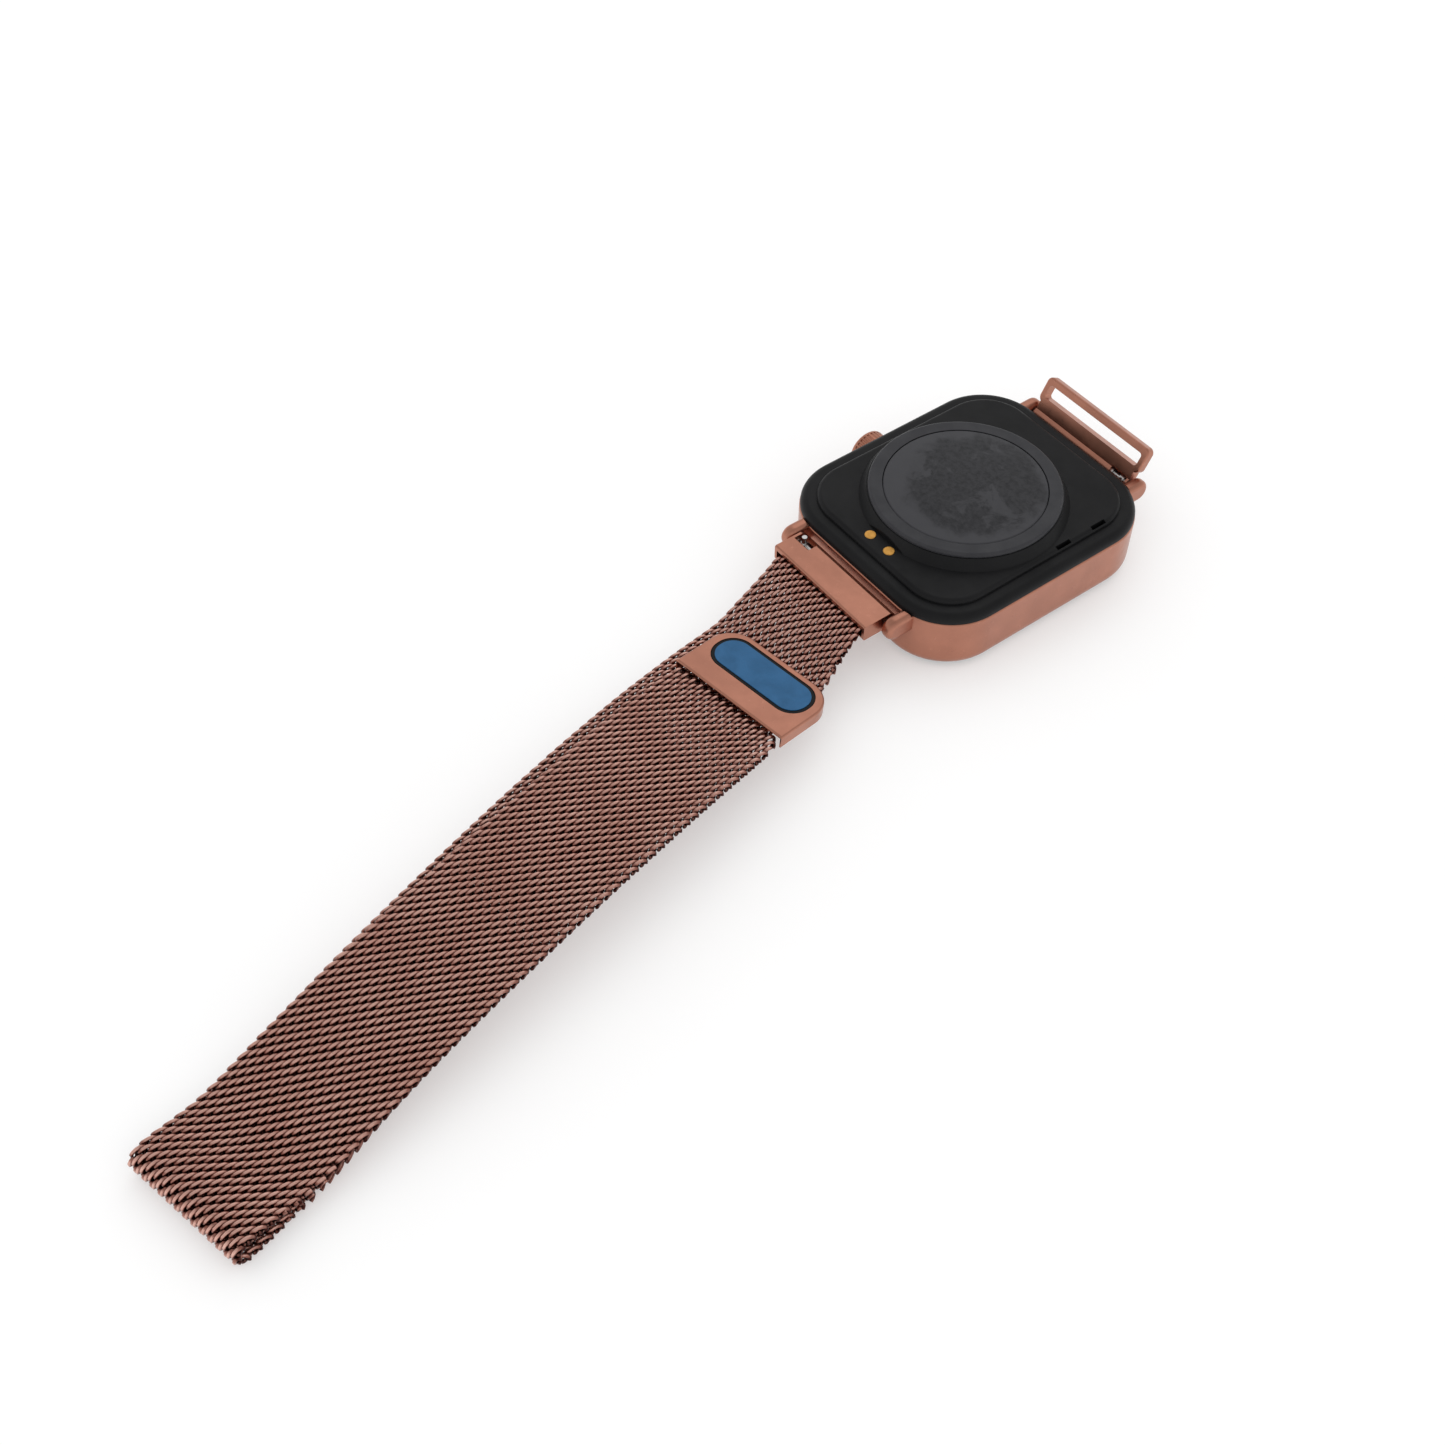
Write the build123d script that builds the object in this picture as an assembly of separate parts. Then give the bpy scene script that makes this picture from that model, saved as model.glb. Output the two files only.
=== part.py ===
"""Smartwatch lying on its display, with a mesh strap folded back on itself.

Millimetres. Origin: centre of the display glass's flat face. +Z points out of
the back cover, +Y towards the strap loop, -X towards the crown.
"""

import os
from math import atan2, cos, degrees, radians, sin

from build123d import *

# ---------------------------------------------------------------- case
CASE_HX, CASE_HY, CASE_R = 18.3, 21.1, 9.3
FRAME_Z0, FRAME_Z1 = 0.45, 8.9
CAVITY_HX, CAVITY_HY, CAVITY_R = 16.6, 19.3, 7.6
GLASS_HX, GLASS_HY, GLASS_R = 17.3, 20.0, 8.3
GLASS_T = 1.2
BORD_Z0, BORD_T = 3.3, 0.8
CHASSIS_Z0, CHASSIS_T = 4.5, 0.8
SCREW_X, SCREW_Y = 13.3, 16.0

# ---------------------------------------------------------------- back cover
COVER_Z0, COVER_SHOULDER_Z, PLATEAU_Z = 8.95, 10.3, 11.1
SENSOR_Y = -0.9
SKIRT_R0, SKIRT_R1, SKIRT_Z = 15.2, 14.1, 12.7
RING_R, WINDOW_R = 13.9, 11.8
PIN_X, PIN_Y, PIN_R = 2.0, -16.6, 0.85

# ---------------------------------------------------------------- crown
CROWN_Y, CROWN_Z, CROWN_R = -1.0, 5.2, 3.1
CROWN_X = -21.3

# ---------------------------------------------------------------- lugs and spring bars
BAR_Y, BAR_Z = 23.1, 7.6
LUG_IN, LUG_OUT, LUG_R = 10.1, 12.1, 1.7
TIP_R, TIP_HOLE_R = 0.4, 0.45
TUBE_R, TUBE_BORE_R = 0.75, 0.5
BAR_BORE_R = 0.8
LINK_HX, LINK_BARREL_R, LOOP_BARREL_R = 9.85, 1.45, 1.2
LINK_EDGE_Y = 27.35
LOOP_TILT = 62.0
LOOP_EDGE, LOOP_SLOT_0, LOOP_SLOT_1 = 6.2, 3.0, 5.1

# ---------------------------------------------------------------- strap
MESH_HX, MESH_T = 9.3, 1.4
LAYER_PITCH = 1.5
STRAP_X0, STRAP_YAW = 2.4, 13.3
HINGE_A_Y, HINGE_A_X, HINGE_A_Z = -30.4, 1.2, 7.3
STATIONS = [11.8, 36.0, 49.0, 62.0, 75.0, 88.0, 101.0]
UPPER_GAP = 1.16
PEEL_U = 33.8
KNUCKLE_R, SOCKET_R = 0.7, 0.76
FOLD_U, FOLD_R = 112.6, 1.5
# height of the lower layer's centre along the strap
ARCH = [
    (0.0, 5.70),
    (11.8, 4.72),
    (24.0, 6.00),
    (30.0, 6.52),
    (36.0, 6.92),
    (45.0, 7.22),
    (55.0, 7.20),
    (65.0, 6.85),
    (75.0, 6.15),
    (85.0, 4.98),
    (95.0, 3.05),
    (101.0, 1.75),
    (106.0, 1.00),
    (110.0, 0.80),
    (116.0, 0.80),
]
# sideways offset of each layer along the strap: the two fan out a little towards the clasp
LOWER_SHIFT = [(11.8, -1.45), (20.0, -1.8), (30.0, -1.9), (50.0, -1.65), (70.0, -1.15), (90.0, -0.9),
               (112.6, -0.8)]
UPPER_SHIFT = [(20.0, 0.75), (30.0, 1.05), (50.0, 0.75), (70.0, 0.35), (90.0, -0.15), (112.6, -0.8)]

# ---------------------------------------------------------------- clasp
CLASP_U0, CLASP_U1 = 12.3, 23.0
CLASP_HX, CLASP_T, CLASP_R = 9.7, 1.8, 4.0
CLASP_YAW, CLASP_GAP = -5.0, 0.2
SLOT_HX, SLOT_DEPTH = 9.5, 1.6
INLAY_U = 16.4


# ================================================================ helpers
def slab(hx, hy, r, z0, z1):
    """Rounded-rectangle block centred on the Z axis."""
    outline = RectangleRounded(2 * hx, 2 * hy, r)
    return extrude(Pos(0, 0, z0) * outline, z1 - z0)


def rod(r, x0, x1, y=0.0, z=0.0):
    """Cylinder along X."""
    return Pos((x0 + x1) / 2, y, z) * Rot(0, 90, 0) * Cylinder(r, abs(x1 - x0))


def post(r, z0, z1, x=0.0, y=0.0):
    """Cylinder along Z."""
    return Pos(x, y, (z0 + z1) / 2) * Cylinder(r, z1 - z0)


def block(x0, x1, y0, y1, z0, z1):
    """Box from its limits."""
    return Pos((x0 + x1) / 2, (y0 + y1) / 2, (z0 + z1) / 2) * Box(x1 - x0, y1 - y0, z1 - z0)


def edges_at(shape, z, tol=0.02):
    """Edges that lie wholly at one height."""
    return [e for e in shape.edges() if abs(e.bounding_box().min.Z - z) < tol
            and abs(e.bounding_box().max.Z - z) < tol]


def coil(r, wire_r, x0, x1, turns, y, z):
    """Compression spring along X."""
    length = x1 - x0 - 2 * wire_r
    path = Helix(pitch=length / turns, height=length, radius=r)
    section = Plane(origin=path @ 0, z_dir=path % 0) * Circle(wire_r)
    return Pos(x0 + wire_r, y, z) * Rot(0, 90, 0) * sweep(section, path)


# ================================================================ case
def lug(sx, sy):
    """Rounded ear that carries one end of a spring bar."""
    near, far = 17.0, BAR_Y
    ear = rod(LUG_R, LUG_IN, LUG_OUT, far, BAR_Z)
    ear += block(LUG_IN, LUG_OUT, near, far, BAR_Z - LUG_R, BAR_Z + LUG_R)
    rims = [e for e in ear.edges() if e.bounding_box().max.Y > far + 0.5]
    ear = fillet(rims, 0.8)
    ear -= rod(TIP_HOLE_R, LUG_IN - 0.5, LUG_IN + 1.3, far, BAR_Z)
    if sy < 0:
        ear = mirror(ear, about=Plane.XZ)
    if sx < 0:
        ear = mirror(ear, about=Plane.YZ)
    return ear


def case_frame():
    """Metal band around the watch, open to the glass and to the back cover."""
    body = slab(CASE_HX, CASE_HY, CASE_R, FRAME_Z0, FRAME_Z1)
    body = fillet(edges_at(body, FRAME_Z0), 1.9)
    body = fillet(edges_at(body, FRAME_Z1), 0.35)
    for sx in (-1, 1):
        for sy in (-1, 1):
            body += lug(sx, sy)
    body -= slab(CASE_HX + 0.15, CASE_HY + 0.15, CASE_R, FRAME_Z1, 12.0)
    body -= slab(CAVITY_HX, CAVITY_HY, CAVITY_R, 2.2, 12.0)
    body -= slab(15.8, 18.5, 6.8, 0.0, 3.0)
    body -= slab(GLASS_HX + 0.1, GLASS_HY + 0.1, GLASS_R, 0.0, 1.35)
    gussets = None
    for sx in (-1, 1):
        for sy in (-1, 1):
            ear = post(2.2, 3.2, CHASSIS_Z0, sx * SCREW_X, sy * SCREW_Y)
            ear += block(*sorted((sx * SCREW_X, sx * 17.2)), *sorted((sy * SCREW_Y, sy * 19.9)),
                         3.2, CHASSIS_Z0)
            ear &= slab(CAVITY_HX + 0.4, CAVITY_HY + 0.4, CAVITY_R, 3.2, CHASSIS_Z0)
            gussets = ear if gussets is None else gussets + ear
    body += gussets
    for sx in (-1, 1):
        for sy in (-1, 1):
            body -= post(0.5, 3.3, CHASSIS_Z0 + 0.1, sx * SCREW_X, sy * SCREW_Y)
    body -= rod(1.5, -20.0, -15.0, CROWN_Y, CROWN_Z)
    body -= rod(CROWN_R + 0.35, -20.0, -17.6, CROWN_Y, CROWN_Z)
    body -= rod(0.4, -20.0, -15.0, 9.5, CROWN_Z)
    return body


def display_glass():
    """Cover glass with rounded rim."""
    glass = slab(GLASS_HX, GLASS_HY, GLASS_R, 0.0, GLASS_T)
    return fillet(edges_at(glass, 0.0), 0.95)


def glass_adhesive():
    """Adhesive frame between the glass and the frame's ledge."""
    ring = slab(GLASS_HX - 0.2, GLASS_HY - 0.2, GLASS_R - 0.2, GLASS_T, 1.35)
    return ring - slab(15.8, 18.5, 6.8, 1.0, 1.5)


def display_panel():
    """Display module bonded behind the glass, with its folded ribbon connector."""
    panel = slab(15.5, 18.2, 6.5, GLASS_T, 2.2)
    return panel + block(-4.0, 4.0, -17.6, -14.6, 2.2, 2.55)


def main_board():
    """Circuit board under the chassis."""
    board = slab(14.8, 13.0, 2.0, BORD_Z0, BORD_Z0 + BORD_T)
    board -= block(-16.0, -12.6, 4.0, 6.0, 3.0, 5.0)
    return board


def board_chips():
    """Packages on the face of the board that looks at the display."""
    sizes = [(-8.5, -6.0, 3.4, 3.4), (-8.0, 2.5, 2.6, 2.0), (9.5, -7.5, 2.0, 3.0), (9.5, 6.5, 2.8, 2.8),
             (-2.5, 9.0, 2.4, 1.4), (3.5, 9.5, 1.6, 1.2), (-11.8, 8.5, 1.4, 2.4)]
    chips = [Pos(x, y, BORD_Z0 - 0.4) * Box(a, b, 0.8) for x, y, a, b in sizes]
    return Compound(children=chips)


def board_shield():
    """Folded screening can over the processor."""
    can = block(-4.5, 5.5, -6.0, 5.0, 2.5, BORD_Z0)
    return can - block(-4.2, 5.2, -5.7, 4.7, 2.8, BORD_Z0 + 0.1)


def chassis():
    """Plastic carrier screwed to the frame, with a tray for the battery."""
    plate = slab(16.3, 19.0, 7.3, CHASSIS_Z0, CHASSIS_Z0 + CHASSIS_T)
    walls = slab(16.3, 19.0, 7.3, CHASSIS_Z0, 7.4) - slab(15.5, 18.2, 6.5, 4.0, 8.0)
    walls -= block(-17.0, -10.0, -4.0, 2.0, 4.0, 8.0)
    tray = block(-9.4, 12.4, -16.0, 11.4, CHASSIS_Z0, 6.4)
    tray -= block(-8.6, 11.6, -15.2, 10.6, 4.0, 8.0)
    body = plate + walls + tray
    body -= block(-17.0, -12.4, CROWN_Y - 2.3, CROWN_Y + 2.3, 4.0, 8.0)
    body -= rod(0.6, -17.0, -15.0, 9.5, CROWN_Z)
    for sx in (-1, 1):
        for sy in (-1, 1):
            body -= post(0.55, 4.0, 6.0, sx * SCREW_X, sy * SCREW_Y)
            body -= post(1.5, CHASSIS_Z0 + CHASSIS_T, 8.0, sx * SCREW_X, sy * SCREW_Y)
    return body


def chassis_screw(sx, sy):
    """Cross-head screw through the chassis into the frame."""
    x, y = sx * SCREW_X, sy * SCREW_Y
    head_z = CHASSIS_Z0 + CHASSIS_T
    screw = post(0.5, 3.5, head_z, x, y) + post(1.0, head_z, head_z + 0.6, x, y)
    cross = block(x - 0.6, x + 0.6, y - 0.12, y + 0.12, head_z + 0.3, head_z + 0.7)
    cross += block(x - 0.12, x + 0.12, y - 0.6, y + 0.6, head_z + 0.3, head_z + 0.7)
    return screw - cross


def battery():
    """Pouch cell in the chassis tray."""
    cell = block(-8.5, 11.5, -15.1, 9.6, CHASSIS_Z0 + CHASSIS_T, 8.4)
    cell = fillet(cell.edges().filter_by(Axis.Z), 1.2)
    return cell + block(-6.0, 9.0, 9.6, 10.5, 6.2, 7.4)


def vibration_motor():
    """Coin motor."""
    can = post(3.1, CHASSIS_Z0 + CHASSIS_T, 7.7, 4.2, 14.7)
    return fillet(can.edges().group_by(Axis.Z)[-1], 0.3)


def loudspeaker():
    """Box speaker with an oval diaphragm recess."""
    box = block(-11.4, -0.6, 12.0, 17.2, CHASSIS_Z0 + CHASSIS_T, 7.7)
    dish = extrude(Pos(-6.0, 14.6, 7.4) * RectangleRounded(8.8, 3.6, 1.7), 0.5)
    return box - dish


def side_switch():
    """Push switch behind the crown's stem."""
    box = block(-14.6, -12.7, CROWN_Y - 1.9, CROWN_Y + 1.9, BORD_Z0 + BORD_T, 6.4)
    return box + rod(0.7, -14.75, -14.6, CROWN_Y, CROWN_Z)


# ================================================================ back cover
def back_cover():
    """Moulded cover with a stepped edge, a sensor skirt and a lip into the frame."""
    body = slab(18.2, 21.0, 9.2, COVER_Z0, COVER_SHOULDER_Z)
    body = fillet(edges_at(body, COVER_SHOULDER_Z), 1.15)
    top = slab(15.9, 18.7, 7.0, COVER_SHOULDER_Z - 0.4, PLATEAU_Z)
    top = fillet(edges_at(top, PLATEAU_Z), 0.7)
    body += top
    skirt = Pos(0, SENSOR_Y, (PLATEAU_Z - 0.3 + SKIRT_Z) / 2) * Cone(SKIRT_R0, SKIRT_R1,
                                                                     SKIRT_Z - PLATEAU_Z + 0.3)
    skirt -= block(-4.4, 4.4, -20.0, -15.45, PLATEAU_Z, 14.0)
    body += skirt
    body += slab(16.5, 19.2, 7.5, 7.9, COVER_Z0) - slab(15.5, 18.2, 6.5, 7.0, 10.0)
    body -= slab(15.5, 18.2, 6.5, 7.0, 10.0)
    groove = slab(17.0, 19.7, 8.0, 8.25, 8.65) - slab(16.0, 18.7, 7.0, 8.0, 9.0)
    body -= groove
    body -= post(12.4, 9.5, 11.7, 0, SENSOR_Y)
    body -= post(11.3, 11.0, 14.0, 0, SENSOR_Y)
    for sx in (-1, 1):
        body -= post(PIN_R, 9.0, 12.0, sx * PIN_X, PIN_Y)
    for y in (10.6, 3.9):
        body -= block(15.1, 15.7, y - 1.3, y + 1.3, 9.0, 12.0)
    return body


def cover_gasket():
    """Rubber seal in the groove of the cover's lip."""
    ring = slab(16.58, 19.28, 7.58, 8.27, 8.63)
    return ring - slab(16.02, 18.72, 7.02, 8.0, 9.0)


def sensor_ring():
    """Bezel around the sensor window."""
    ring = post(RING_R, SKIRT_Z, SKIRT_Z + 0.6, 0, SENSOR_Y)
    ring = fillet(edges_at(ring, SKIRT_Z + 0.6), 0.45)
    return ring - post(WINDOW_R + 0.05, 12.0, 14.0, 0, SENSOR_Y)


def sensor_window():
    """Domed lens over the optical sensor."""
    disc = post(WINDOW_R, SKIRT_Z, SKIRT_Z + 1.2, 0, SENSOR_Y)
    radius = 110.0
    dome = Pos(0, SENSOR_Y, SKIRT_Z + 1.2 - radius) * Sphere(radius)
    disc &= dome
    rims = [e for e in disc.edges() if e.bounding_box().min.Z > SKIRT_Z + 0.3
            and e.bounding_box().size.X > 20]
    return fillet(rims, 0.3)


def sensor_board():
    """Round board under the window."""
    board = post(12.3, 11.0, 11.7, 0, SENSOR_Y)
    return board - block(-2.0, 2.0, 10.4, 13.0, 10.0, 12.0)


def sensor_emitters():
    """Light emitters in the middle and receivers either side of them."""
    corners = [(sx * 1.1, SENSOR_Y + sy * 1.1) for sx in (-1, 1) for sy in (-1, 1)]
    parts = [Pos(x, y, 12.0) * Box(1.5, 1.5, 0.6) for x, y in corners]
    parts += [Pos(sx * 6.2, SENSOR_Y, 12.0) * Box(2.6, 3.2, 0.6) for sx in (-1, 1)]
    return Compound(children=parts)


def sensor_barrier():
    """Light barrier around the emitters."""
    return post(3.9, 11.7, 12.6, 0, SENSOR_Y) - post(3.1, 11.0, 13.0, 0, SENSOR_Y)


def charge_pin(sx):
    """Gold charging contact with a flange inside the cover."""
    pin = post(PIN_R, 9.6, PLATEAU_Z + 0.12, sx * PIN_X, PIN_Y)
    pin = fillet(edges_at(pin, PLATEAU_Z + 0.12), 0.12)
    return pin + post(1.25, 9.6, 10.0, sx * PIN_X, PIN_Y)


# ================================================================ crown
def crown_sleeve():
    """Tube pressed into the frame wall."""
    return rod(1.5, -17.5, -16.35, CROWN_Y, CROWN_Z) - rod(1.0, -19.0, -15.0, CROWN_Y, CROWN_Z)


def crown_stem():
    """Sliding stem: nose in the knob, groove for the seal, flange inside the case."""
    stem = rod(0.95, -18.1, -15.2, CROWN_Y, CROWN_Z)
    stem += rod(0.6, -19.6, -18.0, CROWN_Y, CROWN_Z)
    stem += rod(1.4, -16.05, -15.65, CROWN_Y, CROWN_Z)
    stem -= rod(2.0, -17.25, -16.75, CROWN_Y, CROWN_Z) - rod(0.62, -18.0, -16.0, CROWN_Y, CROWN_Z)
    return stem


def crown_seal():
    """Rubber ring in the stem's groove."""
    return rod(0.97, -17.2, -16.8, CROWN_Y, CROWN_Z) - rod(0.62, -18.0, -16.0, CROWN_Y, CROWN_Z)


def crown_knob():
    """Fluted knob."""
    knob = rod(CROWN_R, CROWN_X, -18.2, CROWN_Y, CROWN_Z)
    knob = fillet([e for e in knob.edges() if e.bounding_box().max.X < CROWN_X + 0.1], 0.45)
    for i in range(30):
        a = radians(12 * i)
        y = CROWN_Y + (CROWN_R + 0.06) * cos(a)
        z = CROWN_Z + (CROWN_R + 0.06) * sin(a)
        knob -= rod(0.2, CROWN_X + 0.6, -18.0, y, z)
    knob -= rod(0.65, -19.7, -18.0, CROWN_Y, CROWN_Z)
    return knob


# ================================================================ spring bars, end link and loop
def bar_tube():
    """Spring bar tube with its fixed tip, along X about the origin; the open end faces -X."""
    tube = rod(TUBE_R, -6.7, 9.6) + rod(TIP_R, 9.6, 10.95)
    return tube - rod(TUBE_BORE_R, -7.0, 1.0)


def bar_plunger(lever):
    """Sliding tip with its thumb lever standing towards +Z."""
    plunger = rod(TIP_R, -10.95, -8.9) + rod(TUBE_R, -8.9, -8.1) + rod(TUBE_BORE_R - 0.05, -8.1, -4.0)
    return plunger + post(0.38, 0.0, lever, -8.5, 0.0)


def bar_spring():
    """Coil behind the sliding tip."""
    return coil(0.36, 0.08, -4.0, 1.0, 9, 0.0, 0.0)


def near(shape):
    """Place a piece built about the origin on the near spring bar's axis."""
    return Pos(0, -BAR_Y, BAR_Z) * shape


def far(shape):
    """Place a piece on the far spring bar's axis, turned end for end and stood up with the loop."""
    return Pos(0, BAR_Y, BAR_Z) * Rot(LOOP_TILT, 0, 0) * Rot(0, 0, 180) * shape


def lever_window(piece):
    """Opening in a barrel that lets the lever slide."""
    return piece - block(-9.45, -6.3, -1.1, 1.1, 0.25, 3.0)


def end_link():
    """Bar between the near lugs that the mesh is clamped into."""
    reach = LINK_EDGE_Y - BAR_Y
    plate = block(-LINK_HX, LINK_HX, -reach, 0.6, -1.1, LINK_BARREL_R)
    long_rims = [e for e in plate.edges().filter_by(Axis.X) if e.center().Y < -1 or e.center().Z > 1]
    plate = fillet(long_rims, 0.3)
    link = plate + rod(LINK_BARREL_R, -LINK_HX, LINK_HX)
    link -= rod(BAR_BORE_R, -11, 11)
    link -= block(-9.4, 9.4, -reach - 1.0, -2.4, -0.68, 0.78)
    return near(lever_window(link))


def far_loop():
    """Rectangular loop on the far spring bar."""
    base = 2.1
    plate = block(-LINK_HX, LINK_HX, 0.0, LOOP_SLOT_0, -0.8, 0.8)
    rim = RectangleRounded(21.0, LOOP_EDGE - base, 0.9)
    plate += extrude(Pos(0, (LOOP_EDGE + base) / 2, -0.8) * rim, 1.6)
    rims = edges_at(plate, 0.8) + edges_at(plate, -0.8)
    rims = [e for e in rims if e.bounding_box().max.Y > 4.6]
    plate = fillet(rims, 0.3)
    slot = RectangleRounded(19.2, LOOP_SLOT_1 - LOOP_SLOT_0, 0.5)
    plate -= extrude(Pos(0, (LOOP_SLOT_0 + LOOP_SLOT_1) / 2, -2.0) * slot, 4.0)
    loop = plate + rod(LOOP_BARREL_R, -LINK_HX, LINK_HX)
    loop -= rod(BAR_BORE_R, -11, 11)
    loop = mirror(loop, about=Plane.XZ)
    return far(lever_window(loop))


# ================================================================ strap
def arch(u):
    """Height of the lower layer's centre at a station, by Catmull-Rom interpolation."""
    i = max(k for k in range(len(ARCH) - 1) if ARCH[k][0] <= u or k == 0)
    (u0, z0), (u1, z1) = ARCH[i], ARCH[i + 1]
    if u1 <= 24.0:
        return z0 + (z1 - z0) * (u - u0) / (u1 - u0)
    ua, za = ARCH[i - 1]
    ub, zb = ARCH[min(i + 2, len(ARCH) - 1)]
    m0 = (z1 - za) / (u1 - ua)
    m1 = (zb - z0) / (ub - u0)
    h = u1 - u0
    t = (u - u0) / h
    return ((2 * t**3 - 3 * t**2 + 1) * z0 + (t**3 - 2 * t**2 + t) * h * m0
            + (3 * t**2 - 2 * t**3) * z1 + (t**3 - t**2) * h * m1)


def upper_arch(u):
    """Height of the upper layer's centre: on the lower layer, lifting into the fold."""
    lift = max(0.0, min(1.0, (u - 103.0) / (FOLD_U - 103.0)))
    lift = lift * lift * (3 - 2 * lift)
    return arch(u) + LAYER_PITCH + lift * (2 * FOLD_R - LAYER_PITCH)


def strap(shape):
    """Place a piece built in the strap's own frame: Y against the run, X across."""
    return Pos(STRAP_X0, -LINK_EDGE_Y, 0) * Rot(0, 0, STRAP_YAW) * shape


def between(table, u):
    """Straight-line interpolation in a table of stations and values."""
    for (u0, v0), (u1, v1) in zip(table, table[1:]):
        if u <= u1:
            return v0 + (v1 - v0) * (u - u0) / (u1 - u0)
    return table[-1][1]


def lower_shift(u):
    """Sideways offset of the lower layer."""
    return between(LOWER_SHIFT, u)


def upper_shift(u):
    """Sideways offset of the upper layer."""
    return between(UPPER_SHIFT, u)


def layer(u0, u1, height, shift):
    """One run of mesh between two stations."""
    steps = max(2, int((u1 - u0) / 1.5))
    us = [u0 + (u1 - u0) * i / steps for i in range(steps + 1)]
    pts = [(-u, height(u) + MESH_T / 2) for u in us]
    pts += [(-u, height(u) - MESH_T / 2) for u in reversed(us)]
    face = Plane.YZ * make_face(Polyline(*pts, close=True))
    return Pos(shift, 0, 0) * extrude(face, MESH_HX, both=True)


def knuckle(u, z, r, shift=0.0, hx=MESH_HX):
    """Cylinder across the strap at a pivot."""
    return rod(r, shift - hx, shift + hx, -u, z)


def mesh_lower(k):
    """Lower layer between hinge k and the next one."""
    u0, u1 = STATIONS[k - 1], STATIONS[k]
    shift = lower_shift((u0 + u1) / 2)
    run = layer(u0, u1 - 0.30, arch, shift) + knuckle(u0, arch(u0), KNUCKLE_R, shift)
    run -= knuckle(u1, arch(u1), SOCKET_R, 0.0, 12.0)
    return strap(run)


def mesh_upper(k):
    """Upper layer between hinge k and the next one."""
    u0 = PEEL_U + 0.82 if k == 1 else STATIONS[k - 1] + UPPER_GAP / 2
    u1 = STATIONS[k] - UPPER_GAP / 2
    return strap(layer(u0, u1, upper_arch, upper_shift((u0 + u1) / 2)))


def mesh_tail():
    """Upper layer between the clasp and the peel pivot."""
    shift = upper_shift(26.0)
    run = layer(CLASP_U1 - 3.0, PEEL_U, upper_arch, shift)
    run += knuckle(PEEL_U, upper_arch(PEEL_U), KNUCKLE_R, shift)
    half = (CLASP_U1 - CLASP_U0) / 2
    outside = block(-13, 13, -half + SLOT_DEPTH - 0.1, 13, -3, 3)
    for x0, x1 in ((SLOT_HX - 0.1, 13), (-13, -SLOT_HX + 0.1)):
        outside += block(x0, x1, -half - 0.5, 13, -3, 3)
    return strap(run) - clasp(outside)


def mesh_fold():
    """Far end, where the strap turns back over itself in a drop-shaped loop."""
    start = STATIONS[-1]
    line = []
    for i in range(9):
        u = start + (FOLD_U - start) * i / 8
        line.append((-u, arch(u)))
    centre = arch(FOLD_U) + FOLD_R
    for i in range(1, 12):
        a = radians(-90 - 15 * i)
        line.append((-FOLD_U + FOLD_R * cos(a), centre + FOLD_R * sin(a)))
    back = start + UPPER_GAP / 2
    for i in range(9):
        u = FOLD_U - (FOLD_U - back) * i / 8
        line.append((-u, upper_arch(u)))
    outer, inner = [], []
    for i, (y, z) in enumerate(line):
        ya, za = line[max(0, i - 1)]
        yb, zb = line[min(len(line) - 1, i + 1)]
        a = atan2(zb - za, yb - ya)
        dy, dz = -sin(a) * MESH_T / 2, cos(a) * MESH_T / 2
        inner.append((y - dy, z - dz))
        outer.append((y + dy, z + dz))
    face = Plane.YZ * make_face(Polyline(*(outer + inner[::-1]), close=True))
    run = extrude(face, MESH_HX, both=True)
    run += knuckle(start, arch(start), KNUCKLE_R)
    return strap(Pos(lower_shift(FOLD_U), 0, 0) * run)


def section(x, y, z, turn):
    """Mesh cross-section standing across the run."""
    plane = Plane(origin=(x, y, z), x_dir=(cos(turn), sin(turn), 0), z_dir=(sin(turn), -cos(turn), 0))
    return plane * Rectangle(2 * MESH_HX, MESH_T)


def mesh_root():
    """Mesh clamped in the end link."""
    z = BAR_Z + 0.05
    run = block(-MESH_HX, MESH_HX, -LINK_EDGE_Y, -LINK_EDGE_Y + 1.8, z - MESH_T / 2, z + MESH_T / 2)
    run += loft([section(0.0, -LINK_EDGE_Y, z, 0.0),
                 section(HINGE_A_X - 0.12, HINGE_A_Y + 0.30, HINGE_A_Z + 0.03, 0.0)], ruled=True)
    return run - rod(SOCKET_R, -14, 14, HINGE_A_Y, HINGE_A_Z)


def mesh_neck():
    """Single layer that runs sideways from the end link down to the clasp."""
    u1 = STATIONS[0]
    yaw = radians(STRAP_YAW)
    end_u = u1 - 0.30
    shift = lower_shift(u1)
    x1 = STRAP_X0 + end_u * sin(yaw) + shift * cos(yaw)
    y1 = -LINK_EDGE_Y - end_u * cos(yaw) + shift * sin(yaw)
    run = loft([section(HINGE_A_X, HINGE_A_Y, HINGE_A_Z, 0.0),
                section(x1, y1, arch(u1) + 0.07, yaw)], ruled=True)
    run += rod(KNUCKLE_R, HINGE_A_X - MESH_HX, HINGE_A_X + MESH_HX, HINGE_A_Y, HINGE_A_Z)
    return run - strap(knuckle(u1, arch(u1), SOCKET_R, 0.0, 14.0))


# ================================================================ clasp
def clasp(shape):
    """Place a clasp piece, built flat about its middle, on the strap."""
    u = (CLASP_U0 + CLASP_U1) / 2
    slope = (arch(CLASP_U1) - arch(CLASP_U0)) / (CLASP_U1 - CLASP_U0)
    z = arch(u) + MESH_T / 2 + CLASP_GAP + CLASP_T / 2
    half = (CLASP_U1 - CLASP_U0) / 2
    x = upper_shift(CLASP_U1) - half * sin(radians(CLASP_YAW))
    return strap(Pos(x, -u, z) * Rot(-degrees(atan2(slope, 1)), 0, 0) * Rot(0, 0, CLASP_YAW) * shape)


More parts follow.
